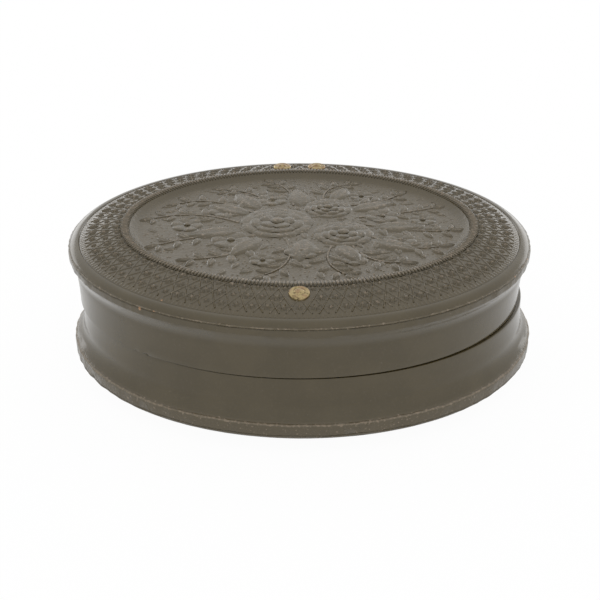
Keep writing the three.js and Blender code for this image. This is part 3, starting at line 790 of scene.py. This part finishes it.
def lay_sprig(mesh, half, start, corner, end):
    """A curved stem with leaves on either side and one at its tip."""
    stem = [start] + curve(start, corner, end, 2 * SPRIG_PAIRS)
    for index, ((x0, y0), (x1, y1)) in enumerate(zip(stem, stem[1:])):
        angle = math.atan2(y1 - y0, x1 - x0)
        length = math.hypot(x1 - x0, y1 - y0)
        share = index / len(stem)
        twig = (TWIG_OVERLAP * length, STEM_WIDTH * (1 - STEM_TAPER * share), STEM_HEIGHT)
        stamp(mesh, TWIG, lay(half, (x0 + x1) / 2, (y0 + y1) / 2, angle, twig))
        size = LEAF_LENGTH * (1 - LEAF_TAPER * share)
        lean = LEAF_LEAN * (1 if index % 2 else -1)
        stamp(mesh, LEAF, lay(half, x1, y1, angle + lean, (size, size, LEAF_RISE)))
    stamp(mesh, LEAF, lay(half, *stem[-1], angle, TIP_LEAF))


def strewn(count, hand):
    """Points strewn evenly over the panel."""
    for index in range(count):
        reach = STREW_REACH * math.sqrt((index + 0.5) / count)
        angle = index * GOLDEN_TURN + STREW_JITTER * hand.random()
        yield (PANEL_EDGE + CHUCK_THROW) * reach * math.cos(angle), PANEL_EDGE * reach * math.sin(angle)


def lay_ground(mesh, half):
    """The ground of the spray: small pebbles and low leaves that point outward."""
    hand = random.Random(GROUND_SEED)
    for x, y in strewn(PEBBLES, hand):
        stamp(mesh, PEBBLE, lay(half, x, y, 0, (1, 1, 1)))
    for x, y in strewn(FILLERS, hand):
        length = FILLER_LENGTH * hand.uniform(*FILLER_SIZES)
        if math.hypot(x / (PANEL_EDGE + CHUCK_THROW), y / PANEL_EDGE) < FILLER_EDGE:
            angle = math.atan2(y, x) + hand.uniform(-FILLER_SWING, FILLER_SWING)
            stamp(mesh, LEAF, lay(half, x, y, angle, (length, length, FILLER_RISE)))


for half in HALVES:
    spray = bmesh.new()
    lay_ground(spray, half)
    for x, y, degrees, length in BROAD_LEAVES:
        stamp(spray, LEAF, lay(half, x, y, math.radians(degrees), (length, length, BROAD_RISE)))
    for sprig in SPRIGS:
        lay_sprig(spray, half, *sprig)
    for x, y, radius in BLOSSOMS:
        lay_flower(spray, half, x, y, radius, BLOSSOM_WHORLS)
    for x, y, radius in ROSES:
        lay_flower(spray, half, x, y, radius, ROSE_WHORLS)
    shown(spray, half.body + "_spray", COMPOSITION, half.body, crease=50)

# The rivets
# Six gilt brass rivets, three to a half, hold the hinge leaves and the catch. Each has a low domed head in a
# seat outside, a shank through the moulding and a tail clenched over the strip inside.
RIVET_SHANK = 0.0008
RIVET_TAIL = 0.00125
TAIL_HEIGHT = 0.0004
HEAD_SEAT = 0.0104
HEAD_TILT = {"_hinge_rivet_left": 0.04, "_hinge_rivet_right": 0.04, "_catch_rivet": 0.12}
HEAD_SINK = {"_hinge_rivet_left": 0.0, "_hinge_rivet_right": 0.0, "_catch_rivet": 0.00012}
HEAD_ROUND = 0.00045
HEAD_RIM = 0.0003
HEAD_DISH = 0.00008
HEAD_DOME = 0.0002
DOME_SPREAD = 0.6
RIVET_STEPS = 48


def gilt_finish():
    """Worn gilding: gold, pink where the copper shows through, brown grime in patches and painted shade where
    the head is closed in.
    """
    finish = Finish("worn_gilt", {"Metallic": 1.0})
    pink = finish.rise(finish.noise(0.0009, 3), 0.45, 0.62)
    open_sky = finish.open_sky(0.0005)
    # Real grime in noise patches plus painted shade where the surface is closed in
    grime_and_shade = finish.rise(finish.noise(0.00045, 5) + 0.35 * (1 - open_sky), 0.5, 0.7)
    gold = finish.mix(pink, (0.38, 0.3, 0.155, 1), (0.3, 0.2, 0.115, 1))
    finish.dress({
        # Browns the gold with grime and with painted shade in the corners of the head
        "Base Color": finish.mix(grime_and_shade * 0.7, gold, (0.14, 0.105, 0.06, 1)),
        "Roughness": 0.3 + 0.3 * grime_and_shade,
        "Normal": finish.bump(finish.noise(0.0003, 4), 0.00005, 0.5),
    })
    return finish


GILT = gilt_finish()


def rivet_profile(low, high, radius):
    """Section of a rivet from the end of its tail to the middle of its low dome, inside a raised rim."""
    rim = radius - HEAD_ROUND
    dish = rim - HEAD_RIM
    shoulder = low + TAIL_HEIGHT
    profile = [(0, low), (RIVET_SHANK, low)]
    profile += curve(profile[-1], (RIVET_TAIL, low), (RIVET_TAIL, shoulder), 3)
    profile += [(RIVET_SHANK, shoulder), (RIVET_SHANK, HEAD_SEAT)]
    profile += [(radius, HEAD_SEAT), (radius, high - HEAD_ROUND)]
    profile += curve(profile[-1], (radius, high), (rim, high), 5)
    profile += curve(profile[-1], (dish, high), (dish, high - HEAD_DISH), 4)
    profile += curve(profile[-1], (dish * DOME_SPREAD, high + HEAD_DOME), (0, high + HEAD_DOME), 5)
    return profile


for half in HALVES:
    for name in RIVETS:
        low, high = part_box(half.body + name)
        ends = sorted(half.side * (level - PARTING_Z) for level in (low.z, high.z))
        radius = (high.y - low.y) / 2
        spot = (low + high) / 2
        tilt = HEAD_TILT[name]
        head = ends[1] - HEAD_DOME - HEAD_SINK[name] - tilt * radius / 2
        rivet = turned(rivet_profile(ends[0], head, radius), RIVET_STEPS)
        for vert in rivet.verts:
            x, y, height = vert.co
            if height > HEAD_SEAT - TAIL_HEIGHT:
                height -= tilt * y * (1 if spot.y > 0 else -1)
            vert.co = (spot.x + x, spot.y + y, PARTING_Z + half.side * height)
        button = shown(rivet, half.body + name + "_button", GILT, half.body, crease=50)
        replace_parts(button, half.body + name)

# The hinge and the catch
# Stamped strips of hard brass: two hinge leaves with knuckles on a drawn pin, the catch's spring with its
# foot and tongue, and its keeper. The rivets hold them, and a file has broken their cut edges.
STRIPS = {
    "base": ("base_hinge_leaf", "hinge_pin", "base_catch_plate"),
    "lid": ("lid_hinge_leaf", "lid_catch_foot"),
    "tongue": ("catch_tongue",),
}
EDGE_BREAK = 0.00006
FLAT_ANGLE = math.radians(2)
CUT_ANGLE = math.radians(35)


def brass_finish():
    """Dulled sheet brass: brushed one way, tarnished in clouds and brown in its corners."""
    finish = Finish("dulled_brass", {"Metallic": 1.0})
    cloud = finish.rise(finish.noise(0.003, 4), 0.4, 0.68)
    brushed = finish.noise(0.0003, 3, (0.08, 1, 1))
    open_sky = finish.open_sky(0.0006)
    corner = finish.rise(1 - open_sky, 0.3, 0.9)
    yellow = finish.mix(cloud, (0.52, 0.37, 0.15, 1), (0.36, 0.24, 0.1, 1))
    finish.dress({
        "Base Color": finish.mix(corner * 0.7, yellow, (0.12, 0.075, 0.03, 1)),
        "Roughness": 0.26 + 0.16 * cloud + 0.1 * brushed,
        "Normal": finish.bump(brushed, 0.00001, 0.5),
    })
    return finish


BRASS = brass_finish()


def filed(name):
    """A copy of a strip with its cut edges broken."""
    mesh = bmesh.new()
    mesh.from_mesh(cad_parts[name].data)
    bmesh.ops.remove_doubles(mesh, verts=mesh.verts, dist=1e-6)
    bmesh.ops.dissolve_limit(mesh, angle_limit=FLAT_ANGLE, verts=mesh.verts, edges=mesh.edges)
    cut_edges = [edge for edge in mesh.edges if edge.is_manifold and edge.calc_face_angle() > CUT_ANGLE]
    bmesh.ops.bevel(
        mesh, geom=cut_edges, offset=EDGE_BREAK, segments=2, profile=0.5, affect="EDGES", material=-1,
        clamp_overlap=True)
    return mesh


for body, names in STRIPS.items():
    for name in names:
        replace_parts(shown(filed(name), name + "_filed", BRASS, body), name)

# The cards
# Rag pasteboard cut to the oval: one carries the velvet pad, one packs the picture up and one backs the
# plate. They are laid in loose, and damp has browned them in patches.
CARDS = ("pad_card", "packing_card", "backing_card")


def pasteboard_finish():
    """Browned rag board with short fibres and foxing."""
    finish = Finish("pasteboard", {})
    fibre = finish.noise(0.0006, 5, (0.3, 1, 1))
    foxing = finish.rise(finish.noise(0.004, 5), 0.55, 0.75)
    board = finish.mix(fibre, (0.34, 0.27, 0.16, 1), (0.46, 0.38, 0.25, 1))
    finish.dress({
        "Base Color": finish.mix(foxing * 0.7, board, (0.24, 0.15, 0.07, 1)),
        "Roughness": 0.8 + 0.15 * fibre,
        "Normal": finish.bump(fibre, 0.00004, 0.6),
    })
    return finish


PASTEBOARD = pasteboard_finish()
for name in CARDS:
    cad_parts[name].material_slots[0].material = PASTEBOARD.material

# The picture packet
# A japanned iron plate, left blank, under a brass mat and a glass. A thin brass preserver is folded round
# their edges and the packet is pressed into the base.
PACKET = Half("base", 1)
PACKET_STEPS = 240
FOIL = 0.0003
FOIL_ROLL = 0.00035
PRESERVER_LIP = 0.0022
PRESERVER_FOLD = 0.0015
LIP_BEADS = 150
LIP_BEAD = (0.00036, 0.00036, 0.00018)
BEAD_STEPS = 8
MAT_WINDOW = 0.01705
MAT_BEVEL = 0.0008
MAT_FILLETS = (0.00055, 0.0012)
FILLET_WIDTH = 0.0003
FILLET_HEIGHT = 0.00006


def preserver_profile(low, high):
    """Closed C section of the foil, from the inner corner of its lip round inside and back outside."""
    outer = high.y
    inner = outer - FOIL
    top = high.z - PARTING_Z
    foot = low.z - PARTING_Z
    profile = [(outer - PRESERVER_LIP, top - FOIL), (inner, top - FOIL), (inner, foot + FOIL)]
    profile += [(outer - PRESERVER_FOLD, foot + FOIL), (outer - PRESERVER_FOLD, foot)]
    profile.append((outer - FOIL_ROLL, foot))
    profile += curve(profile[-1], (outer, foot), (outer, foot + FOIL_ROLL), 4)
    profile.append((outer, top - FOIL_ROLL))
    profile += curve(profile[-1], (outer, top), (outer - FOIL_ROLL, top), 4)
    profile.append((outer - PRESERVER_LIP + FOIL / 2, top))
    profile += curve(profile[-1], (outer - PRESERVER_LIP, top), profile[0], 3)
    return profile


def mat_profile(low, high):
    """Closed section of the mat: bevelled window, two turned fillets and a flat field."""
    face = high.z - PARTING_Z
    foot = low.z - PARTING_Z
    window = MAT_WINDOW + MAT_BEVEL
    profile = [(MAT_WINDOW, foot), (high.y, foot), (high.y, face)]
    for gap in reversed(MAT_FILLETS):
        start = (window + gap + FILLET_WIDTH, face)
        profile.append(start)
        middle = (window + gap + FILLET_WIDTH / 2, face + 2 * FILLET_HEIGHT)
        profile += curve(start, middle, (window + gap, face), 4)
    return profile + [(window, face), (MAT_WINDOW, foot)]


for name, profile in (("preserver", preserver_profile), ("brass_mat", mat_profile)):
    ring = turned(profile(*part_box(name)), PACKET_STEPS)
    chucked(ring, PACKET)
    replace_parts(shown(ring, name + "_turned", BRASS, "base"), name)
lip_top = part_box("preserver")[1].z - PARTING_Z
lip_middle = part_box("preserver")[1].y - PRESERVER_LIP / 2
bead = bead_motif("lip_bead", LIP_BEAD, BEAD_STEPS)
beads = carve_ring(PACKET, bead, LIP_BEADS, lip_middle, lambda radius: lip_top)
shown(beads, "preserver_beads", BRASS, "base", crease=75)


def japan_finish():
    """Dark varnish on iron, hazed in clouds and finely crazed."""
    finish = Finish("japanned_iron", {"IOR": 1.5})
    haze = finish.rise(finish.noise(0.009, 4), 0.35, 0.7)
    craze = finish.noise(0.0012, 5)
    finish.dress({
        "Base Color": finish.mix(haze, (0.011, 0.008, 0.006, 1), (0.026, 0.019, 0.014, 1)),
        "Roughness": 0.14 + 0.2 * haze,
        "Normal": finish.bump(craze, 0.00001, 0.4),
    })
    return finish


def glass_finish():
    """Old clear glass with a faint film of dust."""
    finish = Finish("clear_glass", {"Transmission Weight": 1.0, "IOR": 1.5})
    film = finish.rise(finish.noise(0.008, 4), 0.5, 0.75)
    finish.dress({
        "Base Color": finish.mix(film, (0.95, 0.97, 0.95, 1), (0.9, 0.9, 0.86, 1)),
        "Roughness": 0.01 + 0.05 * film,
    })
    return finish


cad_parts["image_plate"].material_slots[0].material = japan_finish().material
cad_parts["cover_glass"].material_slots[0].material = glass_finish().material

# The velvet strip
# A strip of card covered in velvet and sprung round the base's wall, where it pinches the packet. It is cut
# lower at the front for the catch's tongue.
STRIP_THICKNESS = 0.0011
STRIP_ROWS = 8
STRIP_ROUND = 0.00045
STRIP_LIFT = 0.0003
STRIP_CRUSH = 0.00008
STRIP_RUCK = 0.004
TONGUE_NOTCH = 0.0033
TONGUE_DROP = 0.00185
NOTCH_REACH = 0.001


def velvet_finish():
    """Crimson cotton velvet: short pile that catches light at its edges, crushed in patches."""
    sheen = {"Sheen Weight": 0.5, "Sheen Roughness": 0.4, "Sheen Tint": (0.9, 0.35, 0.4, 1)}
    finish = Finish("crimson_velvet", sheen)
    pile = finish.noise(0.00025, 3)
    crushed = finish.rise(finish.noise(0.005, 4), 0.4, 0.66)
    red = finish.mix(crushed, (0.105, 0.009, 0.016, 1), (0.055, 0.005, 0.009, 1))
    finish.dress({
        "Base Color": finish.mix(finish.rise(pile, 0.45, 0.7) * 0.5, red, (0.19, 0.03, 0.04, 1)),
        "Roughness": 0.85 + 0.1 * pile,
        "Normal": finish.bump(pile + 1.5 * crushed, 0.00006, 0.7),
    })
    return finish


VELVET = velvet_finish()
low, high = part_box("velvet_strip")
outer = high.y
inner = outer - STRIP_THICKNESS
foot = low.z + STRIP_LIFT - PARTING_Z
top = high.z - PARTING_Z
section = [(inner, foot), (outer, foot), (outer, top - STRIP_ROUND)]
section += curve(section[-1], (outer, top), ((inner + outer) / 2, top), 4)
section += curve(section[-1], (inner, top), (inner, top - STRIP_ROUND), 4)
for row in range(STRIP_ROWS - 1, -1, -1):
    section.append((inner, foot + (top - STRIP_ROUND - foot) * row / STRIP_ROWS))
strip_loop = turned(section, PACKET_STEPS)
for vert in strip_loop.verts:
    radius = math.hypot(vert.co.x, vert.co.y)
    if radius < outer - STRIP_CRUSH:
        vert.co.xy *= 1 + STRIP_CRUSH * (1 + noise.noise(vert.co / STRIP_RUCK)) / radius
chucked(strip_loop, PACKET)
strip = shown(strip_loop, "velvet_strip_cut", VELVET, "base", crease=60)
notch_low = (-TONGUE_NOTCH, -outer - CLEARANCE, PARTING_Z - TONGUE_DROP)
notch_high = (TONGUE_NOTCH, -inner + NOTCH_REACH, PARTING_Z)
cut(strip, [block(notch_low, notch_high)])
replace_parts(strip, "velvet_strip")

# The velvet pad
# Wadding under crimson velvet, stretched over the lid's card and glued behind it, so it is crowned in front
# and pulled in round its edge.
PAD_SCALE = 10
PAD_VOXEL = 0.008
PAD_SLACK = 0.003
PAD_BACK = 0.004
PAD_SWELL = 0.008
PAD_PRESSURE = 4
PAD_FRAMES = 20


def stuffed(name):
    """The pad's solid, drawn larger, remeshed, blown up a little as cloth and brought back to size."""
    low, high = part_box(name)
    middle = (low + high) / 2
    limit = (high - low) / 2 * PAD_SCALE
    mesh = bmesh.new()
    mesh.from_mesh(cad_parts[name].data)
    bmesh.ops.remove_doubles(mesh, verts=mesh.verts, dist=1e-6)
    for vert in mesh.verts:
        vert.co = (vert.co - middle) * PAD_SCALE
        for axis in range(3):
            vert.co[axis] *= 1 - PAD_SLACK / limit[axis]
    data = bpy.data.meshes.new("wadding")
    mesh.to_mesh(data)
    mesh.free()
    wadding = bpy.data.objects.new("wadding", data)
    bpy.context.scene.collection.objects.link(wadding)
    felt = wadding.modifiers.new("felt", "REMESH")
    felt.mode = "VOXEL"
    felt.voxel_size = PAD_VOXEL
    apply_modifiers(wadding)
    resting = [vert.co.copy() for vert in wadding.data.vertices]
    glued = wadding.vertex_groups.new(name="glued")
    back = limit.z - PAD_BACK - PAD_SLACK
    glued.add([index for index, place in enumerate(resting) if place.z > back], 1, "REPLACE")
    cloth = wadding.modifiers.new("stuffing", "CLOTH")
    cloth.settings.use_pressure = True
    cloth.settings.uniform_pressure_force = PAD_PRESSURE
    cloth.settings.vertex_group_mass = "glued"
    cloth.settings.effector_weights.gravity = 0
    for step in range(1, PAD_FRAMES + 1):
        bpy.context.scene.frame_set(step)
    apply_modifiers(wadding)
    pad = bmesh.new()
    pad.from_mesh(wadding.data)
    bpy.data.objects.remove(wadding)
    for vert, place in zip(pad.verts, resting):
        moved = vert.co - place
        if moved.length > PAD_SWELL:
            vert.co = place + moved * (PAD_SWELL / moved.length)
        for axis in range(3):
            vert.co[axis] = max(-limit[axis], min(limit[axis], vert.co[axis]))
        vert.co = middle + vert.co / PAD_SCALE
    return pad


pad = shown(stuffed("velvet_pad"), "velvet_pad_stuffed", VELVET, "lid", crease=80)
smooth = pad.modifiers.new("smooth", "SUBSURF")
smooth.levels = 1
smooth.render_levels = 1
apply_modifiers(pad)
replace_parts(pad, "velvet_pad")

# The table, the light and the camera
# The case stands on white paper in a light tent and is seen from the front and a little above.
PAPER_SIZE = 3.0
PAPER_GLOW = 0.96
TENT_GLOW = 1.04
CAMERA_ELEVATION = math.radians(28.36)
CAMERA_DISTANCE = 0.1904
CAMERA_AIM = Vector((-0.0004, 0, 0.00849))
CAMERA_LENS = 68.1
LIGHT_WIDTH = 0.6
LIGHT_HEIGHT = 0.35
LIGHT_DISTANCE = 0.9
LIGHT_AZIMUTH = math.radians(38)
LIGHT_WATTS = 0.95

paper_mesh = bmesh.new()
bmesh.ops.create_grid(paper_mesh, x_segments=1, y_segments=1, size=PAPER_SIZE)
paper_data = bpy.data.meshes.new("paper")
paper_mesh.to_mesh(paper_data)
paper_mesh.free()
paper = bpy.data.objects.new("paper", paper_data)
bpy.context.scene.collection.objects.link(paper)

paper_finish = Finish("white_paper", {"Base Color": (0.9, 0.9, 0.9, 1), "Roughness": 0.9})
glow = paper_finish.node("ShaderNodeEmission", {}, {"Strength": 1.0})
lit = Tone(paper_finish, paper_finish.shader.outputs[0])
seen = paper_finish.node("ShaderNodeLightPath", {}, {}, "Is Camera Ray") * PAPER_GLOW
for mirrored in ("Is Glossy Ray", "Is Transmission Ray"):
    seen = seen + paper_finish.node("ShaderNodeLightPath", {}, {}, mirrored)
both = paper_finish.node("ShaderNodeMixShader", {}, {0: seen, 1: lit, 2: glow})
paper_finish.feed(paper_finish.nodes["Material Output"].inputs["Surface"], both)
paper_data.materials.append(paper_finish.material)

world = bpy.data.worlds.new("light_tent")
world.use_nodes = True
tent = world.node_tree.nodes["Background"]
tent.inputs["Color"].default_value = (1, 1, 1, 1)
tent.inputs["Strength"].default_value = TENT_GLOW
bpy.context.scene.world = world

for name, azimuth in (("left_light", LIGHT_AZIMUTH), ("right_light", -LIGHT_AZIMUTH)):
    panel_light = bpy.data.lights.new(name, "AREA")
    panel_light.shape = "RECTANGLE"
    panel_light.size = LIGHT_WIDTH
    panel_light.size_y = LIGHT_HEIGHT
    panel_light.energy = LIGHT_WATTS
    lamp = bpy.data.objects.new(name, panel_light)
    turn = Matrix.Rotation(azimuth, 4, "Z")
    lamp.location = turn @ Vector((0, LIGHT_DISTANCE, LIGHT_HEIGHT / 2))
    lamp.rotation_euler = (-math.pi / 2, 0, azimuth)
    bpy.context.scene.collection.objects.link(lamp)

camera_data = bpy.data.cameras.new("camera")
camera_data.lens = CAMERA_LENS
camera = bpy.data.objects.new("camera", camera_data)
bpy.context.scene.collection.objects.link(camera)
back = Vector((0, -math.cos(CAMERA_ELEVATION), math.sin(CAMERA_ELEVATION)))
camera.location = CAMERA_AIM + CAMERA_DISTANCE * back
camera.rotation_euler = (math.pi / 2 - CAMERA_ELEVATION, 0, 0)
bpy.context.scene.camera = camera
bpy.context.scene.view_settings.view_transform = "Standard"
